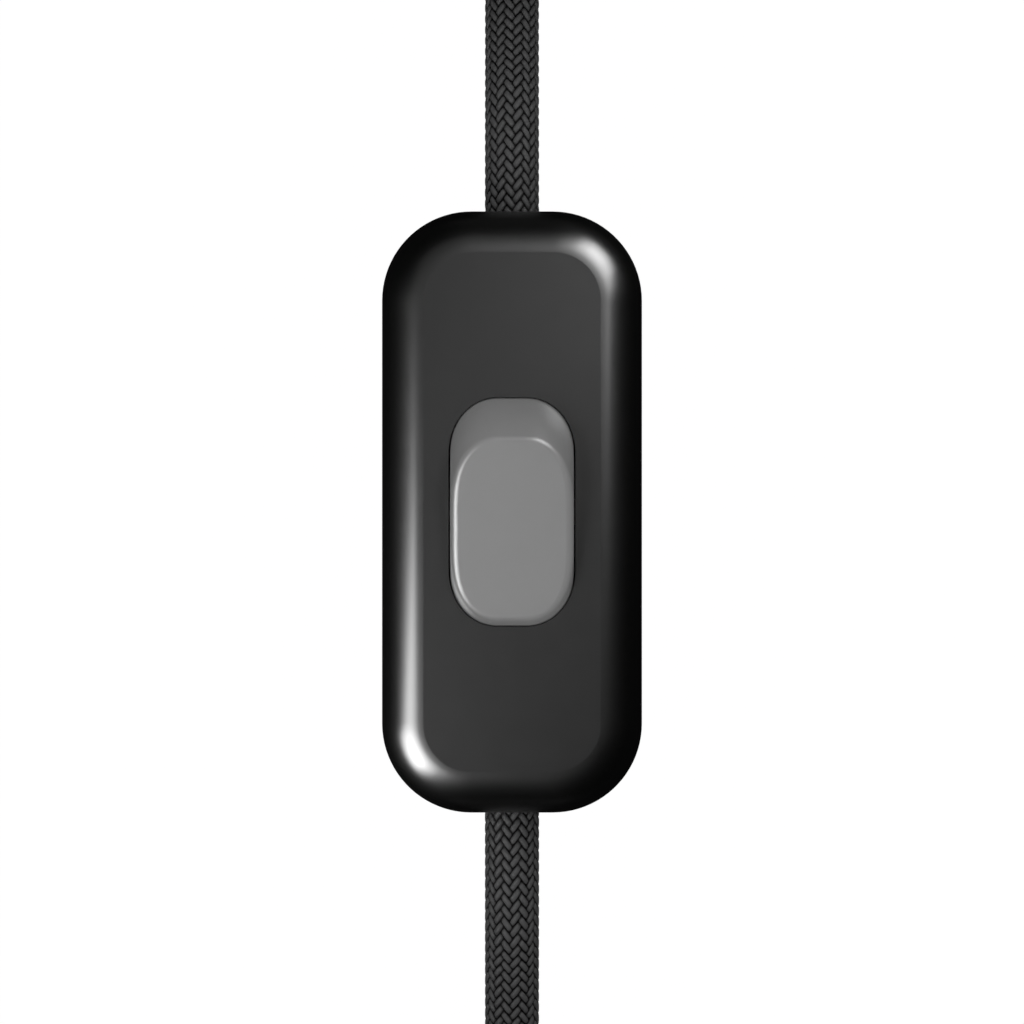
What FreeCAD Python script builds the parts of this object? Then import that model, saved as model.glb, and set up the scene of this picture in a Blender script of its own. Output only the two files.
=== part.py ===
import FreeCAD, Part
import math
import os
import Sketcher

# Inline cord switch: a two-pole rocker switch in a two-part moulded housing, on a round braided cord.
# Millimetres. +Z is up through the rocker, the cord runs along Y, and the origin is the middle of
# the housing's underside. The supply side, with the plug, is at +Y and the lamp side at -Y.

# Driving sizes

DRIVING = {
    # housing
    "case_width": 30.0,
    "case_length": 69.4,
    "case_height": 21.0,
    "case_corner": 10.3,
    "cover_edge": 4.8,
    "base_edge": 2.5,
    "wall": 1.8,
    "cover_roof": 2.0,
    "base_floor": 2.0,
    "parting_height": 10.0,
    "parting_bevel": 0.25,
    "lip_height": 1.4,
    "lip_thickness": 0.8,
    "lip_clearance": 0.1,
    # rocker button, in its own frame with the pivot at the origin
    "pivot_depth": 6.0,
    "rocker_width": 14.2,
    "rocker_reach": 14.3,
    "rocker_corner": 5.4,
    "rocker_top": 9.6,
    "rocker_edge": 0.9,
    "rocker_wall": 1.6,
    "rocker_tilt": 12.0,
    "rocker_gap": 0.2,
    "skirt_height": 1.0,
    "skirt_sector": 34.0,
    "lug_half_width": 3.0,
    "lug_flare": 2.2,
    "lug_depth": 3.2,
    "trunnion_radius": 1.5,
    "trunnion_length": 1.9,
    "trunnion_clearance": 0.06,
    "ear_gap": 0.3,
    "ear_thickness": 1.8,
    "ear_half_length": 3.0,
    "ear_drop": 2.6,
    # plungers and their springs
    "pole_offset": 4.2,
    "plunger_radius": 1.1,
    "plunger_fit": 0.05,
    "plunger_reach": 7.2,
    "plunger_length": 5.0,
    "tube_wall": 0.6,
    "tube_reach": 4.0,
    "spring_length": 6.4,
    "spring_wire": 0.16,
    "spring_clearance": 0.15,
    "spring_turns": 6.0,
    # see-saw contact blades
    "blade_width": 3.2,
    "blade_thickness": 0.8,
    "blade_arm": 9.5,
    "blade_rise": 10.0,
    "blade_clearance": 0.1,
    "contact_radius": 1.3,
    "contact_height": 0.6,
    "contact_place": 8.2,
    "contact_gap": 0.1,
    # terminal strips, clamps and screws
    "strip_thickness": 0.8,
    "strip_width": 5.4,
    "strip_height": 3.0,
    "knife_gap": 0.05,
    "prong_rise": 1.75,
    "prong_clearance": 0.15,
    "shelf_start": 6.5,
    "shelf_clearance": 1.1,
    "clamp_length": 5.0,
    "clamp_width": 5.2,
    "clamp_side": 0.8,
    "clamp_window": 3.4,
    "clamp_roof": 2.0,
    "tongue_clearance": 0.1,
    "terminal_screw_radius": 1.35,
    "terminal_screw_top": 9.4,
    "thread_clearance": 0.05,
    "slot_width": 0.6,
    "slot_depth": 0.7,
    # pegs, ribs and the wall between the poles
    "peg_radius": 1.0,
    "peg_place": 8.7,
    "peg_clearance": 0.15,
    "rib_start": 3.6,
    "rib_thickness": 1.6,
    "pole_wall": 1.0,
    "pole_wall_top": 9.0,
    "pole_wall_reach": 19.0,
    # case screws
    "boss_x": 10.3,
    "boss_radius": 2.4,
    "boss_foot_radius": 3.4,
    "boss_foot_height": 4.5,
    "screw_seat": 3.0,
    "screw_recess_radius": 2.6,
    "screw_head_radius": 2.3,
    "screw_head_height": 1.7,
    "screw_radius": 1.25,
    "screw_top": 16.0,
    "screw_clearance": 0.2,
    # cord saddles
    "saddle_length": 4.0,
    "saddle_half_width": 7.8,
    "saddle_thickness": 1.2,
    "saddle_screw_x": 6.1,
    "saddle_screw_radius": 1.1,
    "saddle_screw_bottom": 5.0,
    "saddle_head_radius": 1.75,
    "saddle_head_height": 1.3,
    # cord
    "cord_radius": 3.1,
    "cord_clearance": 0.1,
    "core_radius": 1.15,
    "core_spread": 1.3,
    "core_gap": 0.4,
    "wire_radius": 0.5,
    "wire_length": 5.0,
    "wire_inset": 0.4,
    "wire_clearance": 0.05,
    # hanks of the length that is put away
    "fold_radius": 18.6,
    "hank_gap": 28.3,
    "supply_hank_length": 163.5,
    "lamp_hank_length": 112.0,
    "hank_lift": 6.3,
    "hank_layers": 2.0,
    "supply_tie_place": 80.0,
    "lamp_tie_place": 60.0,
    "tie_width": 4.0,
    "tie_thickness": 0.5,
    "tie_clearance": 0.05,
    # plug
    "plug_start": 89.0,
    "plug_width": 35.3,
    "plug_thickness": 13.7,
    "plug_length": 35.5,
    "plug_corner": 5.0,
    "plug_shoulder": 23.0,
    "plug_shoulder_width": 33.4,
    "plug_tail_width": 13.0,
    "plug_tail_thickness": 11.0,
    "plug_seat_gap": 0.1,
    "pin_radius": 2.0,
    "pin_length": 19.0,
    "pin_spacing": 18.6,
    "pin_root": 6.0,
    "pin_root_radius": 1.5,
    "relief_length": 20.0,
    "relief_radius": 5.2,
    "relief_tip_radius": 4.1,
    "relief_socket": 2.0,
    "relief_rings": 4.0,
    "relief_groove": 0.7,
    # lamp end
    "lamp_tail_end": 80.0,
    "sleeve_radius": 3.5,
    "sleeve_gap": 0.05,
    "sleeve_length": 12.0,
    "sleeve_overlap": 8.0,
    "bare_core_length": 16.0,
    "ferrule_length": 8.0,
    "ferrule_radius": 0.75,
    "ferrule_collar_radius": 1.4,
    "ferrule_collar_length": 2.5,
}

# Shares of the housing's length at which the parts inside stand, so that they spread with it

SHARES = {"clamp": 0.1875, "boss": 0.31, "saddle": 0.382}

doc = FreeCAD.newDocument("InlineCordSwitch")
sheet = doc.addObject("Spreadsheet::Sheet", "Sizes")
for row, (alias, number) in enumerate(DRIVING.items(), start=1):
    sheet.set("A%d" % row, alias)
    sheet.set("B%d" % row, str(number))
    sheet.setAlias("B%d" % row, alias)
doc.recompute()


class Size:
    """A size: its number, and the expression on the sheet's cells that keeps it."""

    def __init__(self, number, text):
        self.number = number
        self.text = text

    def __add__(self, other):
        other = as_size(other)
        return Size(self.number + other.number, "(%s + %s)" % (self.text, other.text))

    def __sub__(self, other):
        other = as_size(other)
        return Size(self.number - other.number, "(%s - %s)" % (self.text, other.text))

    def __mul__(self, other):
        other = as_size(other)
        return Size(self.number * other.number, "(%s * %s)" % (self.text, other.text))

    def __truediv__(self, other):
        other = as_size(other)
        return Size(self.number / other.number, "(%s / %s)" % (self.text, other.text))

    def __neg__(self):
        return Size(-self.number, "(0 - %s)" % self.text)

    __radd__ = __add__
    __rmul__ = __mul__


def as_size(value):
    if isinstance(value, Size):
        return value
    return Size(float(value), "(%.6f)" % value)


class Sheet:
    """The sheet's cells as sizes: read by their alias."""

    def __getattr__(self, alias):
        return Size(float(getattr(sheet, alias)), "Sizes." + alias)


size = Sheet()


def bind(item, path, value):
    item.setExpression(path, as_size(value).text)


# Ways of building that several pieces share

def block(label, x, y, z):
    """A box between the lowest and highest place on each axis."""
    solid = doc.addObject("Part::Box", label)
    sides = (("Length", "x", x), ("Width", "y", y), ("Height", "z", z))
    for side, place, (low, high) in sides:
        low = as_size(low)
        bind(solid, side, as_size(high) - low)
        bind(solid, "Placement.Base." + place, low)
    return solid


TURNS = {
    "y": FreeCAD.Rotation(FreeCAD.Vector(1, 0, 0), -90),
    "z": FreeCAD.Rotation(),
}


def rod(label, radius, start, length, along="z"):
    """A cylinder from a starting point along an axis."""
    solid = doc.addObject("Part::Cylinder", label)
    bind(solid, "Radius", radius)
    bind(solid, "Height", length)
    solid.Placement = FreeCAD.Placement(FreeCAD.Vector(), TURNS[along])
    for place, value in zip("xyz", start):
        bind(solid, "Placement.Base." + place, value)
    return solid


def joined(label, *pieces):
    solid = doc.addObject("Part::MultiFuse", label)
    solid.Shapes = list(pieces)
    return solid


def without(label, base, *tools):
    solid = doc.addObject("Part::Cut", label)
    solid.Base = base
    solid.Tool = tools[0] if len(tools) == 1 else joined(label + "_cuts", *tools)
    return solid


def group(label, pieces):
    """Identical pieces, kept apart as the solids of one node."""
    together = doc.addObject("Part::Compound", label)
    together.Links = list(pieces)
    return together


def origin_plane(body, role):
    for feature in body.Origin.OriginFeatures:
        if feature.Role == role:
            return feature


def new_sketch(body, name, role, offset=0.0):
    """A sketch on one of the body's own planes, moved along the plane's normal."""
    sketch = body.newObject("Sketcher::SketchObject", name)
    sketch.AttachmentSupport = [(origin_plane(body, role), "")]
    sketch.MapMode = "FlatFace"
    bind(sketch, "AttachmentOffset.Base.z", offset)
    return sketch


def hold_point(sketch, name, element, end, x, y):
    """Fix a point of a sketch by its two distances from the sketch's origin."""
    for way, value in (("DistanceX", as_size(x)), ("DistanceY", as_size(y))):
        index = sketch.addConstraint(
            Sketcher.Constraint(way, -1, 1, element, end, value.number))
        label = "%s_%s" % (name, way[-1].lower())
        sketch.renameConstraint(index, label)
        bind(sketch, "Constraints." + label, value)


def draw_polygon(sketch, corners):
    """Straight sides from corner to corner, each corner held by sizes."""
    corners = [(as_size(x), as_size(y)) for x, y in corners]
    spots = [FreeCAD.Vector(x.number, y.number, 0) for x, y in corners]
    first = len(sketch.Geometry)
    count = len(spots)
    for side in range(count):
        sketch.addGeometry(Part.LineSegment(spots[side], spots[(side + 1) % count]), False)
    for side in range(count):
        following = first + (side + 1) % count
        sketch.addConstraint(Sketcher.Constraint("Coincident", first + side, 2, following, 1))
    for side, (x, y) in enumerate(corners):
        hold_point(sketch, "corner%d" % side, first + side, 1, x, y)


def draw_circle(sketch, x, y, radius):
    x, y, radius = as_size(x), as_size(y), as_size(radius)
    centre = FreeCAD.Vector(x.number, y.number, 0)
    circle = sketch.addGeometry(Part.Circle(centre, FreeCAD.Vector(0, 0, 1), radius.number), False)
    hold_point(sketch, "centre%d" % circle, circle, 3, x, y)
    index = sketch.addConstraint(Sketcher.Constraint("Radius", circle, radius.number))
    sketch.renameConstraint(index, "radius%d" % circle)
    bind(sketch, "Constraints.radius%d" % circle, radius)


def draw_rounded_rectangle(sketch, width, length, corner):
    """A rectangle about the origin with round corners, each side tangent to its arcs."""
    width, length, corner = as_size(width), as_size(length), as_size(corner)
    x, y, r = width.number / 2, length.number / 2, corner.number
    quarter = math.pi / 2
    first = len(sketch.Geometry)
    sides = (((-x + r, -y), (x - r, -y)), ((x, -y + r), (x, y - r)),
             ((x - r, y), (-x + r, y)), ((-x, y - r), (-x, -y + r)))
    for start, end in sides:
        sketch.addGeometry(
            Part.LineSegment(FreeCAD.Vector(*start, 0), FreeCAD.Vector(*end, 0)), False)
    centres = ((x - r, -y + r), (x - r, y - r), (-x + r, y - r), (-x + r, -y + r))
    for turn, centre in enumerate(centres):
        circle = Part.Circle(FreeCAD.Vector(*centre, 0), FreeCAD.Vector(0, 0, 1), r)
        start = (turn - 1) * quarter
        sketch.addGeometry(Part.ArcOfCircle(circle, start, start + quarter), False)
    for turn in range(4):
        side = first + turn
        arc = first + 4 + turn
        following = first + (turn + 1) % 4
        sketch.addConstraint(Sketcher.Constraint("Tangent", side, 2, arc, 1))
        sketch.addConstraint(Sketcher.Constraint("Tangent", arc, 2, following, 1))
        level = "Horizontal" if turn % 2 == 0 else "Vertical"
        sketch.addConstraint(Sketcher.Constraint(level, side))
    for turn in range(1, 4):
        sketch.addConstraint(Sketcher.Constraint("Equal", first + 4, first + 4 + turn))
    sketch.addConstraint(Sketcher.Constraint("Symmetric", first + 4, 3, first + 6, 3, -1, 1))
    held = (("corner", "Radius", (first + 4, corner.number), corner),
            ("width", "DistanceX", (first + 3, 1, first + 1, 1, width.number), width),
            ("length", "DistanceY", (first, 1, first + 2, 2, length.number), length))
    for name, way, places, value in held:
        index = sketch.addConstraint(Sketcher.Constraint(way, *places))
        sketch.renameConstraint(index, name)
        bind(sketch, "Constraints." + name, value)


def pad(body, name, sketch, length, both_ways=False, back=False):
    feature = body.newObject("PartDesign::Pad", name)
    feature.Profile = sketch
    bind(feature, "Length", length)
    feature.Midplane = both_ways
    feature.Reversed = back
    doc.recompute()
    return feature


def pocket(body, name, sketch, length, both_ways=False, back=False):
    """Cut a sketch away: by itself against the sketch's normal, and back for along it."""
    before = body.Tip.Shape.Volume
    feature = body.newObject("PartDesign::Pocket", name)
    feature.Profile = sketch
    bind(feature, "Length", length)
    feature.Midplane = both_ways
    feature.Reversed = back
    doc.recompute()
    check_cut(name, before, feature.Shape.Volume)
    return feature


def check_cut(name, before, after):
    if after > before * 0.99999:
        raise ValueError("%s cuts nothing away" % name)


def mirror(body, name, features, role):
    feature = body.newObject("PartDesign::Mirrored", name)
    feature.Originals = list(features)
    feature.MirrorPlane = (origin_plane(body, role), [""])
    body.Tip = feature
    doc.recompute()
    return feature


def edges_where(shape, test):
    """The names of a shape's edges whose box passes a test."""
    names = []
    for number, edge in enumerate(shape.Edges, start=1):
        if test(edge.BoundBox):
            names.append("Edge%d" % number)
    return names


def round_edges(body, name, radius, test):
    base = body.Tip
    feature = body.newObject("PartDesign::Fillet", name)
    feature.Base = (base, edges_where(base.Shape, test))
    bind(feature, "Radius", radius)
    body.Tip = feature
    doc.recompute()
    return feature


def bevel_edges(body, name, width, test):
    base = body.Tip
    feature = body.newObject("PartDesign::Chamfer", name)
    feature.Base = (base, edges_where(base.Shape, test))
    bind(feature, "Size", width)
    body.Tip = feature
    doc.recompute()
    return feature


def near(one, other):
    return abs(one - other) < 1e-4


def at_level(level):
    return lambda box: near(box.ZMin, level.number) and near(box.ZMax, level.number)


def unit(vector):
    return FreeCAD.Vector(vector).normalize()


def tube_path(points):
    """Straight runs joined by tangent arcs, each as large as its two runs allow."""
    edges = []
    radii = []
    here = points[0]
    for before, corner, after in zip(points, points[1:], points[2:]):
        coming = unit(corner - before)
        going = unit(after - corner)
        half_turn = math.acos(max(-1.0, min(1.0, coming.dot(going)))) / 2
        shorter = min((corner - before).Length, (after - corner).Length)
        reach = 0.45 * shorter
        radii.append(reach / math.tan(half_turn))
        start = corner - coming * reach
        end = corner + going * reach
        inward = unit(going - coming)
        sag = radii[-1] * (1 / math.cos(half_turn) - 1)
        edges.append(Part.LineSegment(here, start).toShape())
        edges.append(Part.Arc(start, corner + inward * sag, end).toShape())
        here = end
    edges.append(Part.LineSegment(here, points[-1]).toShape())
    return Part.Wire(edges), radii


def cord_tube(label, points, radius, placement=None):
    """A round cord along its route, with its bend radii and volume printed."""
    points = [FreeCAD.Vector(*point) for point in points]
    path, radii = tube_path(points)
    start = unit(points[1] - points[0])
    ring = Part.Wire(Part.makeCircle(radius, points[0], start))
    solid = doc.addObject("Part::Feature", label)
    solid.Shape = path.makePipeShell([ring], True, True)
    if placement:
        solid.Placement = placement
    expected = math.pi * radius ** 2 * path.Length
    print("%s: length %.1f, radii %s, volume %.1f of %.1f" % (
        label, path.Length, [round(bend, 1) for bend in radii], solid.Shape.Volume, expected))
    return solid


# Levels and places that several pieces line up with

pivot_height = size.case_height - size.pivot_depth
parting = size.parting_height
inner_width = size.case_width - size.wall * 2
inner_length = size.case_length - size.wall * 2
inner_corner = size.case_corner - size.wall
strip_top = size.strip_height + size.strip_thickness
clamp_start = size.case_length * SHARES["clamp"]
wire_end = clamp_start + size.wire_inset
core_end = wire_end + size.wire_length
boss_y = size.case_length * SHARES["boss"]
saddle_start = size.case_length * SHARES["saddle"]
blade_seat = (pivot_height - size.plunger_reach - size.blade_clearance - size.blade_thickness)
cord_hole = size.cord_radius + size.cord_clearance
gap_reach = size.rocker_reach + size.rocker_gap
plunger_bore = size.plunger_radius + size.plunger_fit
bore_top = size.spring_length + size.spring_clearance - (size.plunger_reach - size.plunger_length)

# Every node: its name and its object

nodes = {}


def keep(solid):
    nodes[solid.Label] = solid
    return solid


# Top cover: a moulded shell with rolled-over edges, the rocker's opening, two ears that carry
# the rocker's trunnions and two pillars for the case screws

def cross_section(sketch, width, reach, corner):
    """Half the rocker's section: a flat end, round corners and straight sides, on the axis."""
    half = width / 2
    x, top, r = half.number, reach.number, corner.number
    quarter = math.pi / 2
    lines = (((x, 0), (x, top - r)), ((x - r, top), (-x + r, top)),
             ((-x, top - r), (-x, 0)), ((-x, 0), (x, 0)))
    for start, end in lines:
        sketch.addGeometry(
            Part.LineSegment(FreeCAD.Vector(*start, 0), FreeCAD.Vector(*end, 0)), False)
    for turn, centre in enumerate(((x - r, top - r), (-x + r, top - r))):
        circle = Part.Circle(FreeCAD.Vector(*centre, 0), FreeCAD.Vector(0, 0, 1), r)
        sketch.addGeometry(
            Part.ArcOfCircle(circle, turn * quarter, (turn + 1) * quarter), False)
    for one, other in (((0, 2), (4, 1)), ((4, 2), (1, 1)), ((1, 2), (5, 1)), ((5, 2), (2, 1))):
        sketch.addConstraint(Sketcher.Constraint("Tangent", *one, *other))
    sketch.addConstraint(Sketcher.Constraint("Coincident", 2, 2, 3, 1))
    sketch.addConstraint(Sketcher.Constraint("Coincident", 3, 2, 0, 1))
    sketch.addConstraint(Sketcher.Constraint("Vertical", 0))
    sketch.addConstraint(Sketcher.Constraint("Horizontal", 1))
    sketch.addConstraint(Sketcher.Constraint("Equal", 4, 5))
    hold_point(sketch, "right", 0, 1, half, 0)
    hold_point(sketch, "left", 2, 2, -half, 0)
    index = sketch.addConstraint(Sketcher.Constraint("Radius", 4, r))
    sketch.renameConstraint(index, "corner")
    bind(sketch, "Constraints.corner", corner)
    index = sketch.addConstraint(Sketcher.Constraint("DistanceY", -1, 1, 1, 1, top))
    sketch.renameConstraint(index, "reach")
    bind(sketch, "Constraints.reach", reach)


def sweep_round(body, kind, name, sketch, angle, both_ways=False):
    """Turn a sketch about its own horizontal axis, to add or to cut."""
    before = body.Tip.Shape.Volume if kind.endswith("Groove") else 0.0
    feature = body.newObject(kind, name)
    feature.Profile = sketch
    feature.ReferenceAxis = (sketch, ["H_Axis"])
    feature.Midplane = both_ways
    bind(feature, "Angle", angle)
    doc.recompute()
    if kind.endswith("Groove"):
        check_cut(name, before, feature.Shape.Volume)
    return feature


cover = doc.addObject("PartDesign::Body", "top_cover")
outline = new_sketch(cover, "cover_outline", "XY_Plane", parting)
draw_rounded_rectangle(outline, size.case_width, size.case_length, size.case_corner)
pad(cover, "cover_block", outline, size.case_height - parting)
round_edges(cover, "cover_rollover", size.cover_edge, at_level(size.case_height))
bevel_edges(cover, "cover_parting_bevel", size.parting_bevel, at_level(parting))

hollow = new_sketch(cover, "cover_hollow_outline", "XY_Plane", parting)
draw_rounded_rectangle(hollow, inner_width, inner_length, inner_corner)
roof_inside = size.case_height - size.cover_roof
pocket(cover, "cover_hollow", hollow, roof_inside - parting, back=True)
round_edges(cover, "cover_hollow_rollover", size.cover_edge - size.wall, at_level(roof_inside))

rebate = new_sketch(cover, "cover_rebate_outline", "XY_Plane", parting)
rebate_inset = size.wall - size.lip_thickness - size.lip_clearance
draw_rounded_rectangle(rebate, size.case_width - rebate_inset * 2,
                       size.case_length - rebate_inset * 2, size.case_corner - rebate_inset)
pocket(cover, "cover_rebate", rebate, size.lip_height + size.lip_clearance, back=True)

ear_inner = size.rocker_width / 2 + size.ear_gap
ears = new_sketch(cover, "ear_outline", "YZ_Plane", ear_inner)
draw_polygon(ears, ((-size.ear_half_length, pivot_height - size.ear_drop),
                    (size.ear_half_length, pivot_height - size.ear_drop),
                    (size.ear_half_length + size.ear_gap, roof_inside + size.ear_gap),
                    (-size.ear_half_length - size.ear_gap, roof_inside + size.ear_gap)))
ear = pad(cover, "ear", ears, size.ear_thickness)
mirror(cover, "ear_pair", [ear], "YZ_Plane")
trunnion_holes = new_sketch(cover, "trunnion_hole_outline", "YZ_Plane")
draw_circle(trunnion_holes, 0, pivot_height, size.trunnion_radius + size.trunnion_clearance)
pocket(cover, "trunnion_holes", trunnion_holes, (ear_inner + size.ear_thickness + 1) * 2,
       both_ways=True)

pillars = new_sketch(cover, "pillar_outline", "XY_Plane", parting)
draw_circle(pillars, size.boss_x, boss_y, size.boss_radius)
draw_circle(pillars, -size.boss_x, -boss_y, size.boss_radius)
pad(cover, "pillars", pillars, roof_inside - parting + size.cover_roof / 4)
pilots = new_sketch(cover, "pilot_outline", "XY_Plane", parting)
draw_circle(pilots, size.boss_x, boss_y, size.screw_radius + size.thread_clearance)
draw_circle(pilots, -size.boss_x, -boss_y, size.screw_radius + size.thread_clearance)
pocket(cover, "pilots", pilots, size.screw_top - parting + size.screw_clearance, back=True)

opening = new_sketch(cover, "opening_section", "XY_Plane", pivot_height)
cross_section(opening, size.rocker_width + size.rocker_gap * 2, gap_reach,
              size.rocker_corner + size.rocker_gap)
sweep_round(cover, "PartDesign::Groove", "rocker_opening", opening, 360)

cover_mouths = new_sketch(cover, "cover_mouth_outline", "XZ_Plane")
draw_circle(cover_mouths, 0, parting, cord_hole)
pocket(cover, "cover_mouths", cover_mouths, size.case_length + 2, both_ways=True)
keep(cover)

# Base shell: a moulded tray with a lip inside the cover's rim, screw bosses, seats for the cord,
# ribs and pegs that carry the metal parts, and a wall between the two poles

base = doc.addObject("PartDesign::Body", "base_shell")
tray = new_sketch(base, "base_outline", "XY_Plane")
draw_rounded_rectangle(tray, size.case_width, size.case_length, size.case_corner)
pad(base, "base_block", tray, parting)
round_edges(base, "base_rollover", size.base_edge, at_level(as_size(0)))
bevel_edges(base, "base_parting_bevel", size.parting_bevel, at_level(parting))
tray_hollow = new_sketch(base, "base_hollow_outline", "XY_Plane", size.base_floor)
draw_rounded_rectangle(tray_hollow, inner_width, inner_length, inner_corner)
pocket(base, "base_hollow", tray_hollow, parting - size.base_floor, back=True)

lip_outline = new_sketch(base, "lip_outline", "XY_Plane", parting - size.wall)
lip_outset = size.lip_thickness * 2
draw_rounded_rectangle(lip_outline, inner_width + lip_outset, inner_length + lip_outset,
                       inner_corner + size.lip_thickness)
pad(base, "lip_block", lip_outline, size.wall + size.lip_height)
lip_hollow = new_sketch(base, "lip_hollow_outline", "XY_Plane", size.base_floor)
draw_rounded_rectangle(lip_hollow, inner_width, inner_length, inner_corner)
pocket(base, "lip_hollow", lip_hollow, parting + size.lip_height - size.base_floor, back=True)

feet = new_sketch(base, "boss_foot_outline", "XY_Plane", size.base_floor / 2)
draw_circle(feet, size.boss_x, boss_y, size.boss_foot_radius)
draw_circle(feet, -size.boss_x, -boss_y, size.boss_foot_radius)
pad(base, "boss_feet", feet, size.boss_foot_height - size.base_floor / 2)
bosses = new_sketch(base, "boss_outline", "XY_Plane", size.base_floor / 2)
draw_circle(bosses, size.boss_x, boss_y, size.boss_radius)
draw_circle(bosses, -size.boss_x, -boss_y, size.boss_radius)
pad(base, "bosses", bosses, parting - size.base_floor / 2)

seat_end = saddle_start + size.saddle_length
seats = new_sketch(base, "cord_seat_outline", "XY_Plane", size.base_floor / 2)
draw_polygon(seats, ((-size.saddle_half_width, saddle_start),
                     (size.saddle_half_width, saddle_start),
                     (size.saddle_half_width, seat_end), (-size.saddle_half_width, seat_end)))
cord_seat = pad(base, "cord_seat", seats, parting - size.base_floor / 2)

walls = new_sketch(base, "pole_wall_outline", "XY_Plane", size.base_floor / 2)
draw_polygon(walls, ((-size.pole_wall / 2, -size.pole_wall_reach),
                     (size.pole_wall / 2, -size.pole_wall_reach),
                     (size.pole_wall / 2, size.pole_wall_reach),
                     (-size.pole_wall / 2, size.pole_wall_reach)))
pad(base, "pole_wall", walls, size.pole_wall_top - size.base_floor / 2)

rib_half = size.strip_width / 2
ribs = new_sketch(base, "strip_rib_outline", "XY_Plane", size.base_floor / 2)
draw_polygon(ribs, ((size.pole_offset - rib_half, size.rib_start),
                    (size.pole_offset + rib_half, size.rib_start),
                    (size.pole_offset + rib_half, size.rib_start + size.rib_thickness),
                    (size.pole_offset - rib_half, size.rib_start + size.rib_thickness)))
strip_rib = pad(base, "strip_rib", ribs, size.strip_height - size.base_floor / 2)
shelf_top = blade_seat - size.contact_height * 2
shelf_bottom = shelf_top - size.strip_thickness
shelf_ribs = new_sketch(base, "shelf_rib_outline", "XY_Plane", size.base_floor / 2)
riser_start = clamp_start - size.shelf_clearance - size.strip_thickness
shelf_rib_start = (size.shelf_start + riser_start - size.rib_thickness) / 2
draw_polygon(shelf_ribs, ((size.pole_offset - rib_half, -shelf_rib_start - size.rib_thickness),
                          (size.pole_offset + rib_half, -shelf_rib_start - size.rib_thickness),
                          (size.pole_offset + rib_half, -shelf_rib_start),
                          (size.pole_offset - rib_half, -shelf_rib_start)))
shelf_rib = pad(base, "shelf_rib", shelf_ribs, shelf_bottom - size.base_floor / 2)
pegs = new_sketch(base, "peg_outline", "XY_Plane", size.base_floor / 2)
draw_circle(pegs, size.pole_offset, size.peg_place, size.peg_radius)
peg = pad(base, "peg", pegs, blade_seat - size.peg_clearance - size.base_floor / 2)
mirror(base, "pole_supports", [strip_rib, shelf_rib, peg], "YZ_Plane")
mirror(base, "cord_seats", [cord_seat], "XZ_Plane")

recesses = new_sketch(base, "screw_recess_outline", "XY_Plane")
draw_circle(recesses, size.boss_x, boss_y, size.screw_recess_radius)
draw_circle(recesses, -size.boss_x, -boss_y, size.screw_recess_radius)
pocket(base, "screw_recesses", recesses, size.screw_seat, back=True)
screw_ways = new_sketch(base, "screw_way_outline", "XY_Plane")
draw_circle(screw_ways, size.boss_x, boss_y, size.screw_radius + size.screw_clearance)
draw_circle(screw_ways, -size.boss_x, -boss_y, size.screw_radius + size.screw_clearance)
pocket(base, "screw_ways", screw_ways, parting + size.lip_height, back=True)

saddle_y = saddle_start + size.saddle_length / 2
threads = new_sketch(base, "saddle_thread_outline", "XY_Plane", size.saddle_screw_bottom)
for side in (-1, 1):
    for end in (-1, 1):
        draw_circle(threads, size.saddle_screw_x * side, saddle_y * end,
                    size.saddle_screw_radius + size.thread_clearance)
pocket(base, "saddle_threads", threads, parting, back=True)
troughs = new_sketch(base, "trough_outline", "XZ_Plane")
draw_circle(troughs, 0, parting, size.cord_radius)
pocket(base, "troughs", troughs, (saddle_start + size.saddle_length) * 2, both_ways=True)
base_mouths = new_sketch(base, "base_mouth_outline", "XZ_Plane", seat_end)
draw_circle(base_mouths, 0, parting, cord_hole)
mouth_length = size.case_length / 2 - seat_end + 1
base_mouth = pocket(base, "base_mouth", base_mouths, mouth_length, back=True)
mirror(base, "base_mouths", [base_mouth], "XZ_Plane")
keep(base)

# Case screws: two, driven from below through the base into the cover's pillars


def slot(label, x, y, top, reach):
    """The cut of a screwdriver slot across a head that ends at a height."""
    return block(label, (x - reach, x + reach),
                 (y - size.slot_width / 2, y + size.slot_width / 2),
                 (top - size.slot_depth, top + size.slot_depth))


case_screws = []
for end in (-1, 1):
    x, y = size.boss_x * end, boss_y * end
    head_bottom = size.screw_seat - size.screw_head_height
    head = rod("case_screw_head%d" % end, size.screw_head_radius, (x, y, head_bottom),
               size.screw_head_height)
    shank = rod("case_screw_shank%d" % end, size.screw_radius, (x, y, size.screw_seat / 2),
                size.screw_top - size.screw_seat / 2)
    screw = joined("case_screw_blank%d" % end, head, shank)
    case_screws.append(without("case_screw%d" % end, screw,
                               slot("case_slot%d" % end, x, y, head_bottom,
                                    size.screw_head_radius + 1)))
keep(group("case_screws", case_screws))

# Cord saddles: a strap over each end of the cord, screwed to the base's seats

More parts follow.
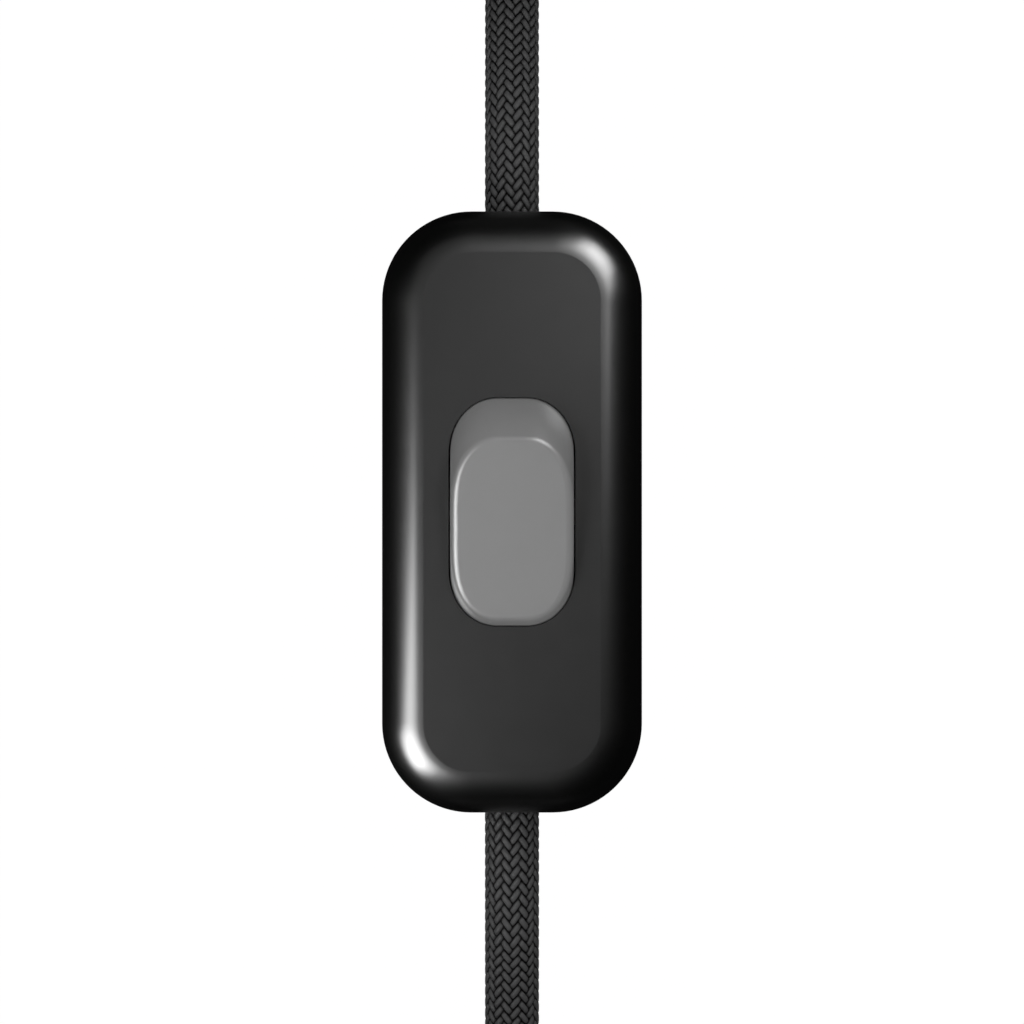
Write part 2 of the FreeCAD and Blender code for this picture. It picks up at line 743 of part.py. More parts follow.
saddle_screws = []
for end, name in ((1, "supply"), (-1, "lamp")):
    start = saddle_y * end - size.saddle_length / 2
    arch_radius = size.cord_radius + size.saddle_thickness
    arch = rod(name + "_arch", arch_radius, (0, start, parting), size.saddle_length, "y")
    foot = block(name + "_foot", (-size.saddle_half_width, size.saddle_half_width),
                 (start, start + size.saddle_length), (parting, parting + size.saddle_thickness))
    strap = joined(name + "_strap", arch, foot)
    below = block(name + "_below", (-arch_radius - 1, arch_radius + 1),
                  (start - 1, start + size.saddle_length + 1), (0, parting))
    cord_way = rod(name + "_cord_way", size.cord_radius, (0, start - 1, parting),
                   size.saddle_length + 2, "y")
    holes = []
    for side in (-1, 1):
        x = size.saddle_screw_x * side
        holes.append(rod("%s_saddle_hole%d" % (name, side),
                         size.saddle_screw_radius + size.screw_clearance,
                         (x, saddle_y * end, parting - 1), size.saddle_thickness + 2))
        foot_top = parting + size.saddle_thickness
        head_top = foot_top + size.saddle_head_height
        head = rod("%s_saddle_head%d" % (name, side), size.saddle_head_radius,
                   (x, saddle_y * end, foot_top), size.saddle_head_height)
        shank_bottom = size.saddle_screw_bottom + size.thread_clearance
        shank = rod("%s_saddle_shank%d" % (name, side), size.saddle_screw_radius,
                    (x, saddle_y * end, shank_bottom), head_top - shank_bottom)
        screw = joined("%s_saddle_screw_blank%d" % (name, side), head, shank)
        cut = slot("%s_saddle_slot%d" % (name, side), x, saddle_y * end, head_top,
                   size.saddle_head_radius + 1)
        saddle_screws.append(without("%s_saddle_screw%d" % (name, side), screw, cut))
    keep(without(name + "_cord_saddle", strap, below, cord_way, *holes))
keep(group("saddle_screws", saddle_screws))

# Terminal strips: the supply strips fold up into the knife edge that the see-saw blades rock on,
# and the lamp strips step up to the shelf that carries the fixed contact

fixed_contacts = []
clamps = []
clamp_screws = []
wires = []
tongue_half = size.clamp_width / 2 - size.clamp_side - size.tongue_clearance
clamp_end = clamp_start + size.clamp_length
tongue_start = clamp_start - size.strip_thickness
for side, pole in ((1, "live"), (-1, "neutral")):
    x = size.pole_offset * side
    wide = (x - size.strip_width / 2, x + size.strip_width / 2)
    narrow = (x - tongue_half, x + tongue_half)
    flat = (size.strip_height, strip_top)
    half_sheet = size.strip_thickness / 2
    knife_top = blade_seat - size.knife_gap
    notch_half = size.blade_width / 2 + size.prong_clearance
    strip = block("supply_strip_" + pole, wide, (-half_sheet, tongue_start), flat)
    tongue = block("supply_tongue_" + pole, narrow, (0, clamp_end), flat)
    upright = block("supply_upright_" + pole, wide, (-half_sheet, half_sheet),
                    (size.strip_height, knife_top + size.prong_rise))
    notch = block("supply_notch_" + pole, (x - notch_half, x + notch_half),
                  (-size.strip_thickness, size.strip_thickness),
                  (knife_top, knife_top + size.prong_rise + 1))
    peg_hole = rod("supply_peg_hole_" + pole, size.peg_radius + size.peg_clearance,
                   (x, size.peg_place, size.strip_height - 1), size.strip_thickness + 2)
    keep(without("supply_terminal_" + pole,
                 joined("supply_sheet_" + pole, strip, tongue, upright), notch, peg_hole))

    shelf_end = clamp_start - size.shelf_clearance
    shelf = block("lamp_shelf_" + pole, wide, (-shelf_end, -size.shelf_start),
                  (shelf_bottom, shelf_top))
    riser = block("lamp_riser_" + pole, wide, (-shelf_end, size.strip_thickness - shelf_end),
                  (size.strip_height, shelf_top))
    foot = block("lamp_foot_" + pole, wide, (-tongue_start, size.strip_thickness - shelf_end), flat)
    tongue = block("lamp_tongue_" + pole, narrow, (-clamp_end, -shelf_end), flat)
    keep(joined("lamp_terminal_" + pole, shelf, riser, foot, tongue))
    fixed_contacts.append(rod("fixed_contact_" + pole, size.contact_radius,
                              (x, -size.contact_place, shelf_top),
                              size.contact_height - size.contact_gap))

    for end, name in ((1, "supply"), (-1, "lamp")):
        tag = "%s_%s" % (name, pole)
        start = clamp_start if end > 0 else -clamp_end
        middle = (clamp_start + size.clamp_length / 2) * end
        window_top = size.strip_height + size.clamp_window
        clamp_top = window_top + size.clamp_roof
        half = size.clamp_width / 2
        cage = block("cage_" + tag, (x - half, x + half), (start, start + size.clamp_length),
                     (size.strip_height - size.clamp_side, clamp_top))
        window = block("window_" + tag, (x - half + size.clamp_side, x + half - size.clamp_side),
                       (start - 1, start + size.clamp_length + 1),
                       (size.strip_height, window_top))
        thread = rod("thread_" + tag, size.terminal_screw_radius + size.thread_clearance,
                     (x, middle, window_top - 1), size.clamp_roof + 2)
        clamps.append(without("terminal_clamp_" + tag, cage, window, thread))
        wire_height = strip_top + size.wire_radius + size.wire_clearance
        screw_bottom = wire_height + size.wire_radius + size.wire_clearance
        blank = rod("terminal_screw_blank_" + tag, size.terminal_screw_radius,
                    (x, middle, screw_bottom), size.terminal_screw_top - screw_bottom)
        clamp_screws.append(without("terminal_screw_" + tag, blank,
                                    slot("terminal_slot_" + tag, x, middle,
                                         size.terminal_screw_top,
                                         size.terminal_screw_radius + 1)))
        wire_start = wire_end if end > 0 else -core_end
        wires.append(rod("wire_" + tag, size.wire_radius, (x, wire_start, wire_height),
                         core_end - wire_end, "y"))
keep(group("fixed_contacts", fixed_contacts))
keep(group("terminal_clamps", clamps))
keep(group("terminal_screws", clamp_screws))
keep(group("wire_ends", wires))

# Rocker button: turned about its pivot so that its ends stay close to the opening at every tilt,
# hollow below, with a trunnion each side and two tubes for the plungers

rocker = doc.addObject("PartDesign::Body", "rocker_button")
section = new_sketch(rocker, "rocker_section", "XY_Plane")
cross_section(section, size.rocker_width, size.rocker_reach, size.rocker_corner)
sweep_round(rocker, "PartDesign::Revolution", "rocker_round", section, 360)
far = size.rocker_reach + 2
crown = new_sketch(rocker, "crown_outline", "XY_Plane", size.rocker_top)
draw_polygon(crown, ((-far, -far), (far, -far), (far, far), (-far, far)))
pocket(rocker, "crown", crown, far, back=True)
skirt = new_sketch(rocker, "skirt_outline", "YZ_Plane")
flare = size.lug_half_width + size.lug_flare
draw_polygon(skirt, ((-far, -far), (-far, size.skirt_height), (-flare, size.skirt_height),
                     (-size.lug_half_width, -size.lug_depth),
                     (size.lug_half_width, -size.lug_depth), (flare, size.skirt_height),
                     (far, size.skirt_height), (far, -far)))
pocket(rocker, "skirt", skirt, far * 2, both_ways=True)
round_edges(rocker, "rocker_top_edge", size.rocker_edge, at_level(size.rocker_top))

inside_width = size.rocker_width - size.rocker_wall * 2
inside_top = size.rocker_top - size.rocker_wall
top_half_length = Size(
    math.sqrt(size.rocker_reach.number ** 2 - size.rocker_top.number ** 2),
    "sqrt(Sizes.rocker_reach ^ 2 - Sizes.rocker_top ^ 2)")
rocker_hollow = new_sketch(rocker, "rocker_hollow_outline", "XY_Plane", -size.lug_depth)
draw_rounded_rectangle(rocker_hollow, inside_width, (top_half_length - size.rocker_wall / 2) * 2,
                       size.rocker_corner - size.rocker_wall)
pocket(rocker, "rocker_hollow", rocker_hollow, inside_top + size.lug_depth, back=True)
end_hollow = new_sketch(rocker, "end_hollow_section", "XY_Plane")
cross_section(end_hollow, inside_width, size.rocker_reach - size.rocker_wall,
              size.rocker_corner - size.rocker_wall)
sector = sweep_round(rocker, "PartDesign::Groove", "end_hollow", end_hollow,
                     size.skirt_sector * 2, both_ways=True)
mirror(rocker, "end_hollows", [sector], "XZ_Plane")

tubes = new_sketch(rocker, "tube_outline", "XY_Plane", -size.tube_reach)
draw_circle(tubes, size.pole_offset, 0, plunger_bore + size.tube_wall)
tube = pad(rocker, "tube", tubes, size.tube_reach + inside_top + size.rocker_wall / 4)
trunnions = new_sketch(rocker, "trunnion_outline", "YZ_Plane",
                       size.rocker_width / 2 - size.rocker_wall)
draw_circle(trunnions, 0, 0, size.trunnion_radius)
trunnion = pad(rocker, "trunnion", trunnions, size.rocker_wall + size.trunnion_length)
mirror(rocker, "tubes_and_trunnions", [tube, trunnion], "YZ_Plane")
bores = new_sketch(rocker, "bore_outline", "XY_Plane", -size.tube_reach)
draw_circle(bores, size.pole_offset, 0, plunger_bore)
draw_circle(bores, -size.pole_offset, 0, plunger_bore)
pocket(rocker, "bores", bores, size.tube_reach + bore_top, back=True)
rocker_place = FreeCAD.Placement(
    FreeCAD.Vector(0, 0, pivot_height.number),
    FreeCAD.Rotation(FreeCAD.Vector(1, 0, 0), size.rocker_tilt.number))
rocker.Placement = rocker_place
keep(rocker)

# Plungers with round noses, and the springs behind them in the rocker's tubes


def tilted(label, solid, placement):
    """A piece built in its own frame, set at its tilt."""
    piece = doc.addObject("Part::Feature", label)
    doc.recompute()
    piece.Shape = solid.Shape
    piece.Placement = placement.multiply(solid.Placement)
    return piece


for side, pole in ((1, "live"), (-1, "neutral")):
    x = size.pole_offset * side
    nose_height = size.plunger_radius - size.plunger_reach
    stem_top = size.plunger_length - size.plunger_reach
    stem = rod("plunger_stem_" + pole, size.plunger_radius, (x, 0, nose_height),
               stem_top - nose_height)
    nose = doc.addObject("Part::Sphere", "plunger_nose_" + pole)
    bind(nose, "Radius", size.plunger_radius)
    bind(nose, "Placement.Base.x", x)
    bind(nose, "Placement.Base.z", nose_height)
    keep(tilted("plunger_" + pole, joined("plunger_blank_" + pole, stem, nose), rocker_place))

    coil_radius = size.plunger_radius - size.spring_wire - size.spring_clearance
    helix = doc.addObject("Part::Helix", "spring_path_" + pole)
    coil_height = size.spring_length - size.spring_wire * 2 - size.spring_clearance
    bind(helix, "Pitch", coil_height / size.spring_turns)
    bind(helix, "Height", coil_height)
    bind(helix, "Radius", coil_radius)
    wire = doc.addObject("Part::Circle", "spring_section_" + pole)
    bind(wire, "Radius", size.spring_wire)
    wire.Placement = FreeCAD.Placement(FreeCAD.Vector(), TURNS["y"])
    bind(wire, "Placement.Base.x", coil_radius)
    coil = doc.addObject("Part::Sweep", "spring_coil_" + pole)
    coil.Sections = [wire]
    coil.Spine = (helix, ["Edge1"])
    coil.Solid = True
    coil.Frenet = True
    coil.Placement.Base = FreeCAD.Vector(
        x.number, 0, (stem_top + size.spring_wire + size.spring_clearance).number)
    keep(tilted("plunger_spring_" + pole, coil, rocker_place))

# See-saw contact blades: a shallow V that rocks on the knife edge, with a contact under one arm


rise = math.radians(size.blade_rise.number)
rise_cos = Size(math.cos(rise), "cos(Sizes.blade_rise)")
rise_sin = Size(math.sin(rise), "sin(Sizes.blade_rise)")
for side, pole in ((1, "live"), (-1, "neutral")):
    blade = doc.addObject("PartDesign::Body", "contact_blade_" + pole)
    profile = new_sketch(blade, "blade_profile_" + pole, "YZ_Plane")
    arm_y = size.blade_arm * rise_cos
    arm_z = size.blade_arm * rise_sin
    over_y = size.blade_thickness * rise_sin
    over_z = size.blade_thickness * rise_cos
    draw_polygon(profile, ((0, 0), (arm_y, arm_z), (arm_y - over_y, arm_z + over_z),
                           (0, size.blade_thickness / rise_cos),
                           (over_y - arm_y, arm_z + over_z), (-arm_y, arm_z)))
    pad(blade, "blade_strip_" + pole, profile, size.blade_width, both_ways=True)
    spot = FreeCAD.Vector(size.pole_offset.number * side, 0, blade_seat.number)
    blade.Placement = FreeCAD.Placement(
        spot, FreeCAD.Rotation(FreeCAD.Vector(1, 0, 0), -size.blade_rise.number))
    keep(blade)
    rivet = rod("rivet_" + pole, size.contact_radius,
                (0, -size.contact_place, -size.contact_height), size.contact_height)
    open_place = FreeCAD.Placement(
        spot, FreeCAD.Rotation(FreeCAD.Vector(1, 0, 0), -2 * size.blade_rise.number))
    keep(tilted("moving_contact_" + pole, rivet, open_place))

# Inner cores: from the end of the cord's sheath to the terminal clamps

cord_r = size.cord_radius.number
core_r = size.core_radius.number
for end, name in ((1, "supply"), (-1, "lamp")):
    for side, pole in ((1, "live"), (-1, "neutral")):
        sheath = (saddle_start - size.core_gap).number
        clamp_x = size.pole_offset.number
        wire_z = (strip_top + size.wire_radius + size.wire_clearance).number
        core_z = wire_z + (size.core_radius - size.wire_radius).number / 2
        last = core_end.number
        bend = (sheath - last) * 0.3
        route = ((size.core_spread.number, sheath, parting.number),
                 (size.core_spread.number + 0.3, sheath - bend, parting.number - 0.6),
                 (clamp_x - 0.3, last + bend, core_z + 0.6),
                 (clamp_x, last, core_z))
        route = [(x * side, y * end, z) for x, y, z in route]
        keep(cord_tube("%s_core_%s" % (name, pole), route, core_r))

# Cord leads: straight out of each end, down to the surface and on under the near end of the
# hank, then across to the side where the hank's turns begin

fold = size.fold_radius.number
cord_z = parting.number
exit_y = size.case_length.number / 2
near_end = exit_y + size.hank_gap.number


def lead_route(end, hank_length):
    """The route of a lead, and the slope at which the hank lies on it."""
    far_end = near_end + hank_length
    slope = size.hank_lift.number / (hank_length - 2 * cord_r)
    joins = near_end + 44.2
    runs_on = near_end + 70.0
    return ((0, saddle_start.number * end, cord_z), (0, (exit_y + 6.3) * end, cord_z),
            (0, (exit_y + 24.3) * end, cord_r), (0, (near_end + 22.0) * end, cord_r),
            (fold, joins * end, cord_r + (far_end - joins) * slope),
            (fold, runs_on * end, cord_r + (far_end - runs_on) * slope)), math.atan(slope)


def racetrack(half_width, length, height, centre_y):
    """A stadium-shaped block, lying along Y."""
    straight = length / 2 - half_width
    corners = [FreeCAD.Vector(x * half_width, centre_y + y * straight, 0)
               for x, y in ((1, -1), (1, 1), (-1, 1), (-1, -1))]
    tops = [FreeCAD.Vector(0, centre_y + way * length / 2, 0) for way in (1, -1)]
    wire = Part.Wire([Part.LineSegment(corners[0], corners[1]).toShape(),
                      Part.Arc(corners[1], tops[0], corners[2]).toShape(),
                      Part.LineSegment(corners[2], corners[3]).toShape(),
                      Part.Arc(corners[3], tops[1], corners[0]).toShape()])
    return Part.Face(wire).extrude(FreeCAD.Vector(0, 0, height))


hank_top = 2 * cord_r * size.hank_layers.number
tail_z = hank_top + (size.sleeve_radius + size.sleeve_gap).number
hank_places = {}
hanks = ((1, "supply", size.supply_hank_length, size.supply_tie_place, (0, 0)),
         (-1, "lamp", size.lamp_hank_length, size.lamp_tie_place, (0, 1)))
for end, name, hank_length, tie_place, tied_tails in hanks:
    hank_length = hank_length.number
    route, tilt = lead_route(end, hank_length)
    keep(cord_tube(name + "_cord_lead", route, cord_r))
    middle = near_end + hank_length / 2
    outer = racetrack(fold + cord_r, hank_length, hank_top, middle * end)
    inner = racetrack(fold - cord_r, hank_length - 4 * cord_r, hank_top, middle * end)
    ring = outer.cut(inner)
    edges = [edge for edge in ring.Edges if near(edge.BoundBox.ZLength, 0)]
    hank = doc.addObject("Part::Feature", name + "_hank")
    hank.Shape = ring.makeFillet(cord_r * 0.8, edges)
    pivot = FreeCAD.Vector(0, (near_end + hank_length) * end, 0)
    hank_places[name] = FreeCAD.Placement(
        FreeCAD.Vector(), FreeCAD.Rotation(FreeCAD.Vector(1, 0, 0), -math.degrees(tilt) * end), pivot)
    hank.Placement = hank_places[name]
    keep(hank)

    ties = []
    for side, tails in zip((-1, 1), tied_tails):
        tie_y = (near_end + tie_place.number) * end
        clear = size.tie_clearance.number
        thick = size.tie_thickness.number
        solids = []
        for grow in (clear + thick, clear):
            half = cord_r + grow
            tied_top = tail_z + cord_r if tails else hank_top
            tall = tied_top + 2 * grow
            shell = Part.makeBox(2 * half, size.tie_width.number, tall,
                                 FreeCAD.Vector(fold * side - half,
                                                tie_y - size.tie_width.number / 2, -grow))
            along = [edge for edge in shell.Edges
                     if near(edge.BoundBox.YLength, size.tie_width.number)]
            solids.append(shell.makeFillet(half * 0.8, along))
        ties.append(solids[0].cut(solids[1]))
    tie = doc.addObject("Part::Feature", name + "_hank_ties")
    tie.Shape = Part.makeCompound(ties)
    tie.Placement = hank_places[name]
    keep(tie)

# Supply tail: from the top of the hank back to the middle and into the plug, which lies on the
# hank. All of it is built level and then set at the hank's slope
plug_axis = hank_top + size.plug_thickness.number / 2 + size.plug_seat_gap.number
relief_y = near_end + size.plug_start.number
socket = size.relief_socket.number
tail_route = ((fold, near_end + 14.6, hank_top + cord_r),
              (fold, near_end + 40.0, hank_top + cord_r + 0.6),
              (0, near_end + 62.2, plug_axis - 0.5), (0, relief_y + socket, plug_axis))
keep(cord_tube("supply_cord_tail", tail_route, cord_r, hank_places["supply"]))

relief_profile = [(0, 0), (size.relief_tip_radius.number, 0)]
rings = int(size.relief_rings.number)
relief_length = size.relief_length.number
slope_r = (size.relief_radius.number - size.relief_tip_radius.number) / relief_length
pitch = relief_length / (2 * rings + 1)
for ring in range(rings):
    for step, depth in ((1, 0), (1, 1), (2, 1), (2, 0)):
        along = pitch * (2 * ring + step)
        radius = size.relief_tip_radius.number + slope_r * along
        relief_profile.append((radius - depth * size.relief_groove.number, along))
relief_profile += [(size.relief_radius.number, relief_length), (0, relief_length), (0, 0)]
relief_wire = Part.makePolygon([FreeCAD.Vector(r, y, 0) for r, y in relief_profile])
relief = doc.addObject("Part::Feature", "plug_strain_relief")
relief_solid = Part.Face(relief_wire).revolve(FreeCAD.Vector(), FreeCAD.Vector(0, 1, 0), 360)
relief.Shape = relief_solid.cut(Part.makeCylinder(cord_r, socket, FreeCAD.Vector(),
                                                  FreeCAD.Vector(0, 1, 0)))
relief.Placement = hank_places["supply"].multiply(
    FreeCAD.Placement(FreeCAD.Vector(0, relief_y, plug_axis), FreeCAD.Rotation()))
keep(relief)

plug = doc.addObject("PartDesign::Body", "plug_body")
sections = []
stations = ((0, size.plug_tail_width, size.plug_tail_thickness),
            (size.plug_shoulder, size.plug_shoulder_width, size.plug_thickness),
            (size.plug_length, size.plug_width, size.plug_thickness))
for number, (along, width, thickness) in enumerate(stations):
    section = new_sketch(plug, "plug_section%d" % number, "XZ_Plane", -as_size(along))
    draw_rounded_rectangle(section, width, thickness, size.plug_corner)
    sections.append(section)
plug_loft = plug.newObject("PartDesign::AdditiveLoft", "plug_loft")
plug_loft.Profile = sections[0]
plug_loft.Sections = sections[1:]
plug_loft.Ruled = False
doc.recompute()
pin_holes = new_sketch(plug, "pin_hole_outline", "XZ_Plane", -size.plug_length)
for side in (-1, 1):
    draw_circle(pin_holes, size.pin_spacing / 2 * side, 0, size.pin_root_radius)
pocket(plug, "pin_holes", pin_holes, size.pin_root, back=True)
plug_y = relief_y + relief_length
plug_place = hank_places["supply"].multiply(
    FreeCAD.Placement(FreeCAD.Vector(0, plug_y, plug_axis), FreeCAD.Rotation()))
plug.Placement = plug_place
keep(plug)

pins = []
pin_length = size.pin_length.number
pin_way = FreeCAD.Vector(0, 1, 0)
for side in (-1, 1):
    face = FreeCAD.Vector(size.pin_spacing.number / 2 * side, size.plug_length.number, 0)
    pin = Part.makeCylinder(size.pin_radius.number, pin_length, face, pin_way)
    tip = [edge for edge in pin.Edges
           if near(edge.BoundBox.YMin, face.y + pin_length) and near(edge.BoundBox.YLength, 0)]
    root = Part.makeCylinder(size.pin_root_radius.number, size.pin_root.number,
                             face - pin_way * size.pin_root.number, pin_way)
    pins.append(pin.makeFillet(size.pin_radius.number * 0.6, tip).fuse(root))
plug_pins = doc.addObject("Part::Feature", "plug_pins")
plug_pins.Shape = Part.makeCompound(pins)
plug_pins.Placement = plug_place
keep(plug_pins)

# Lamp tail: the last of the cord lies along the top of its hank and ends in a shrunk sleeve,
# two stripped cores and their ferrules, ready for the lamp

tail_end = near_end + size.lamp_tail_end.number
lamp_place = hank_places["lamp"]
keep(cord_tube("lamp_cord_tail", ((fold, -near_end - 14.6, tail_z), (fold, -tail_end, tail_z)),
               cord_r, lamp_place))


def ring_along(outer_radius, inner_radius, start, end_y, x, z):
    """A sleeve along the cord, between two places along Y."""
    centre = FreeCAD.Vector(x, -start, z)
    way = FreeCAD.Vector(0, -1, 0)
    solid = Part.makeCylinder(outer_radius, end_y - start, centre, way)
    if inner_radius:
        solid = solid.cut(Part.makeCylinder(inner_radius, end_y - start, centre, way))
    return solid


sleeve = doc.addObject("Part::Feature", "lamp_end_sleeve")
sleeve_start = tail_end - size.sleeve_overlap.number
sleeve_end = sleeve_start + size.sleeve_length.number
body_part = ring_along(size.sleeve_radius.number, 0, tail_end, sleeve_end, fold, tail_z)
over_part = ring_along(size.sleeve_radius.number, cord_r, sleeve_start, tail_end, fold, tail_z)
core_ways = [ring_along(core_r, 0, tail_end, sleeve_end,
                        fold + size.core_spread.number * side, tail_z) for side in (-1, 1)]
sleeve_solid = body_part.fuse(over_part)
for way in core_ways:
    sleeve_solid = sleeve_solid.cut(way)
sleeve.Shape = sleeve_solid.removeSplitter()
sleeve.Placement = lamp_place
keep(sleeve)

ferrules = []
core_tip = sleeve_end + size.bare_core_length.number
for side, pole in ((1, "live"), (-1, "neutral")):
    start_x = fold + size.core_spread.number * side
    end_x = fold - 3.5 + 3.0 * side
    route = ((start_x, -tail_end, tail_z), (start_x, -sleeve_end - 3.0, tail_z),
             (end_x, -core_tip + 4.0, tail_z - 0.8), (end_x, -core_tip, tail_z - 0.8))
    keep(cord_tube("lamp_end_core_" + pole, route, core_r, lamp_place))
    collar_end = core_tip + size.ferrule_collar_length.number
    collar = ring_along(size.ferrule_collar_radius.number, 0, core_tip, collar_end,
                        end_x, tail_z - 0.8)
    barrel = ring_along(size.ferrule_radius.number, 0, core_tip,
                        collar_end + size.ferrule_length.number, end_x, tail_z - 0.8)
    ferrules.append(collar.fuse(barrel))
lamp_ferrules = doc.addObject("Part::Feature", "lamp_end_ferrules")
lamp_ferrules.Shape = Part.makeCompound(ferrules)
lamp_ferrules.Placement = lamp_place
keep(lamp_ferrules)

# Checks, then one file for each node

doc.recompute()
faults = []
for item in doc.Objects:
    if "Invalid" in item.State or "Error" in item.State:
        faults.append("%s: %s" % (item.Label, item.State))
for name, item in nodes.items():
    if item.Shape.isNull() or not item.Shape.isValid() or not item.Shape.Solids:
        faults.append("%s has no valid solid" % name)
if faults:
    raise ValueError("; ".join(faults))

os.makedirs("parts", exist_ok=True)
for name, item in nodes.items():
    item.Shape.exportStep("parts/%s.step" % name)
    box = item.Shape.BoundBox
    print("%s: %d solids, x %.2f %.2f, y %.2f %.2f, z %.2f %.2f, volume %.2f" % (
        name, len(item.Shape.Solids), box.XMin, box.XMax, box.YMin, box.YMax,
        box.ZMin, box.ZMax, item.Shape.Volume))
print("%d nodes" % len(nodes))
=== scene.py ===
import math

import bmesh
import bpy
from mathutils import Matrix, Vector


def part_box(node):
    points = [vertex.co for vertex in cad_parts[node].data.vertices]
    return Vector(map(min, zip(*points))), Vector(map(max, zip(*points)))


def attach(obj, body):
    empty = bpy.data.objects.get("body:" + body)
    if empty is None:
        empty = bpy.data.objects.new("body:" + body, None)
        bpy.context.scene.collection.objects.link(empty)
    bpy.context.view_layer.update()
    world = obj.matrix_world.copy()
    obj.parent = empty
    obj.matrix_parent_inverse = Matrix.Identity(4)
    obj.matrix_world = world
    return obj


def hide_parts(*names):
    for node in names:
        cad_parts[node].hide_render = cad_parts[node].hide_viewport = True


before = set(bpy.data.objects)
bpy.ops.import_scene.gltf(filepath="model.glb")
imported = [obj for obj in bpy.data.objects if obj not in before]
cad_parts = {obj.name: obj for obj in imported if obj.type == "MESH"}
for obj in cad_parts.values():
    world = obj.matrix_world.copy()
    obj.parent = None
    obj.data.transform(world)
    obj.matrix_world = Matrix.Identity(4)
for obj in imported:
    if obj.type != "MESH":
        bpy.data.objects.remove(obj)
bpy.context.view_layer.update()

# Camera
# It looks straight down on the switch, which fills the picture as it does in the photograph. The
# housing's width in the photograph, in pixels, sets how much of the cord is in view.
PHOTO_SIDE_PX = 1024
HOUSING_WIDTH_PX = 258.8
SENSOR_MM = 36.0
CAMERA_HEIGHT = 1.2

shell_low, shell_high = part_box("base_shell")
housing_width = shell_high.x - shell_low.x
view_width = housing_width * PHOTO_SIDE_PX / HOUSING_WIDTH_PX
camera_data = bpy.data.cameras.new("camera")
camera_data.sensor_width = SENSOR_MM
camera_data.lens = SENSOR_MM * (CAMERA_HEIGHT - shell_high.z) / view_width
camera_data.clip_end = 30.0
camera = bpy.data.objects.new("camera", camera_data)
camera.location = (0, 0, CAMERA_HEIGHT)
bpy.context.scene.collection.objects.link(camera)
bpy.context.scene.camera = camera
bpy.context.scene.view_settings.view_transform = "Standard"


# Shader maths
# A link wraps an output socket, so that sums, products and comparisons are written as expressions
# and each adds its own node.
class Link:
    def __init__(self, paint, socket):
        self.paint = paint
        self.socket = socket

    def calc(self, operation, *values):
        return self.paint.maths(operation, self, *values)

    def __add__(self, other):
        return self.calc("ADD", other)

    def __sub__(self, other):
        return self.calc("SUBTRACT", other)

    def __rsub__(self, other):
        return self.paint.maths("SUBTRACT", other, self)

    def __mul__(self, other):
        return self.calc("MULTIPLY", other)

    def __truediv__(self, other):
        return self.calc("DIVIDE", other)

    def __rtruediv__(self, other):
        return self.paint.maths("DIVIDE", other, self)

    def __lt__(self, other):
        return self.calc("LESS_THAN", other)

    def __gt__(self, other):
        return self.calc("GREATER_THAN", other)

    __radd__ = __add__
    __rmul__ = __mul__


class Paint:
    """A material being made, or the room's light: its nodes and the shader that they feed."""

    def __init__(self, name, owners=bpy.data.materials, shader="Principled BSDF"):
        self.owner = owners.new(name)
        self.owner.use_nodes = True
        self.tree = self.owner.node_tree
        self.shader = self.tree.nodes[shader]

    def connect(self, socket, value):
        if isinstance(value, Link):
            self.tree.links.new(value.socket, socket)
        else:
            socket.default_value = value

    def node(self, kind, settings=None, values=(), named=None, output=0):
        """Adds a node, makes its settings, fills its sockets and returns one of its outputs."""
        made = self.tree.nodes.new(kind)
        for setting, value in (settings or {}).items():
            setattr(made, setting, value)
        for socket, value in zip(made.inputs, values):
            self.connect(socket, value)
        for socket, value in (named or {}).items():
            self.connect(made.inputs[socket], value)
        return Link(self, made.outputs[output])

    def maths(self, operation, *values):
        return self.node("ShaderNodeMath", {"operation": operation}, values)

    def place(self, kind="Object"):
        return self.node("ShaderNodeTexCoord", output=kind)

    def noise(self, scale, detail=3.0, rough=0.5, vector=None):
        named = {"Vector": vector or self.place(), "Scale": scale, "Detail": detail,
                 "Roughness": rough}
        return self.node("ShaderNodeTexNoise", named=named)

    def between(self, value, low, high, first, last):
        """A number that goes smoothly from first to last as value goes from low to high."""
        return self.node("ShaderNodeMapRange", {"interpolation_type": "SMOOTHSTEP"},
                         (value, low, high, first, last))

    def blend(self, amount, first, second):
        """A colour between two others."""
        return self.node("ShaderNodeMix", {"data_type": "RGBA"}, output="Result",
                         named={"Factor": amount, "A": first, "B": second})

    def relief(self, height, distance, strength=1.0):
        """Feeds a bump of that height, in metres, to the shader's normal."""
        bump = self.node("ShaderNodeBump", named={"Height": height, "Distance": distance,
                                                  "Strength": strength})
        self.connect(self.shader.inputs["Normal"], bump)

    def finish(self, **sockets):
        """Fills the shader's sockets, whose names are given with _ for a space, and hands over
        what the nodes belong to."""
        for name, value in sockets.items():
            self.connect(self.shader.inputs[name.replace("_", " ")], value)
        return self.owner


def grey(level):
    """A neutral colour of that linear level."""
    return (level, level, level, 1)


# Floor and light
# A white sweep under a pale dome that lights all sides evenly. Two gridded boxes and a wide one
# above draw the bright lines along the housing's rolled edges, and the three last ones, whose
# grids keep them off the switch, shine on the plug's pins and the ferrules.
FLOOR_SIZE = 30.0
FLOOR_DROP = 0.0002
FLOOR_GLOW = 1.0
ROOM_GLOW = 1.05
DOME_EDGE = (-0.2, 0.1)
PINS = (0, 0.215, 0.015)
FERRULES = (0, -0.160, 0.015)


